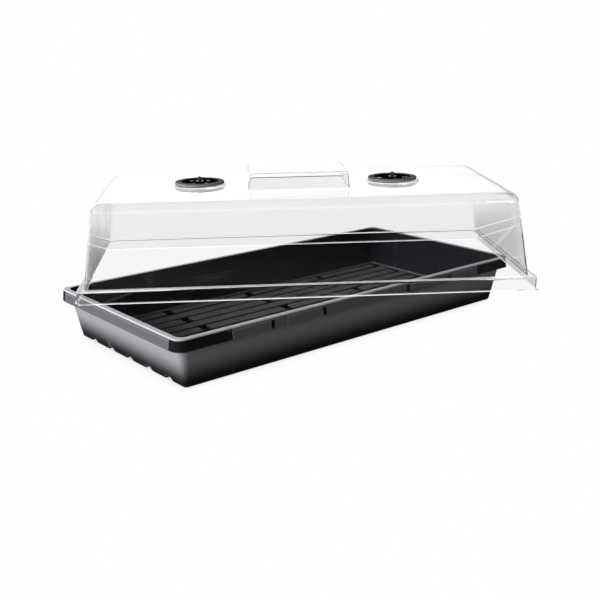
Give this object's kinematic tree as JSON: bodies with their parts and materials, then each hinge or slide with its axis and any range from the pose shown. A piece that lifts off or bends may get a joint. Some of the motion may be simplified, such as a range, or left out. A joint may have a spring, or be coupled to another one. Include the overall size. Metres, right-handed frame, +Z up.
{
  "type": "humidity dome tray",
  "caption": "Rectangular seed-starting tray with a ribbed floor, and a clear vented humidity dome standing askew across its rim.",
  "frame": {"origin": "centre of the tray's underside, in the plane of the feet that the tray stands on", "axes": "+X along the tray's length, +Y across it, +Z up; the dome stands turned about +Z from the tray"},
  "size_m": [0.6242, 0.5572, 0.2015],
  "materials": {
    "tray_plastic": "satin black, moulded",
    "clear_plastic": "clear, gloss, thin formed sheet",
    "dial_plastic": "black, gloss rim and matte face",
    "pin_plastic": "black, gloss"
  },
  "bodies": {
    "tray": {"tray": "tray_plastic"},
    "dome": {"dome": "clear_plastic", "vent_pin_left": "pin_plastic", "vent_pin_right": "pin_plastic"},
    "vent_dial_left": {"vent_dial_left": "dial_plastic"},
    "vent_dial_right": {"vent_dial_right": "dial_plastic"}
  },
  "joints": [
    {"name": "dome_lift", "type": "slide", "parent": "tray", "child": "dome", "axis": [0, 0, 1], "range_m": [0, 0.25]},
    {"name": "vent_dial_left_turn", "type": "hinge", "parent": "dome", "child": "vent_dial_left", "pos_m": [-0.09242, 0.08519, 0.1833], "axis": [0, 0, 1], "continuous": true},
    {"name": "vent_dial_right_turn", "type": "hinge", "parent": "dome", "child": "vent_dial_right", "pos_m": [0.11636, -0.06208, 0.1833], "axis": [0, 0, 1], "continuous": true}
  ]
}
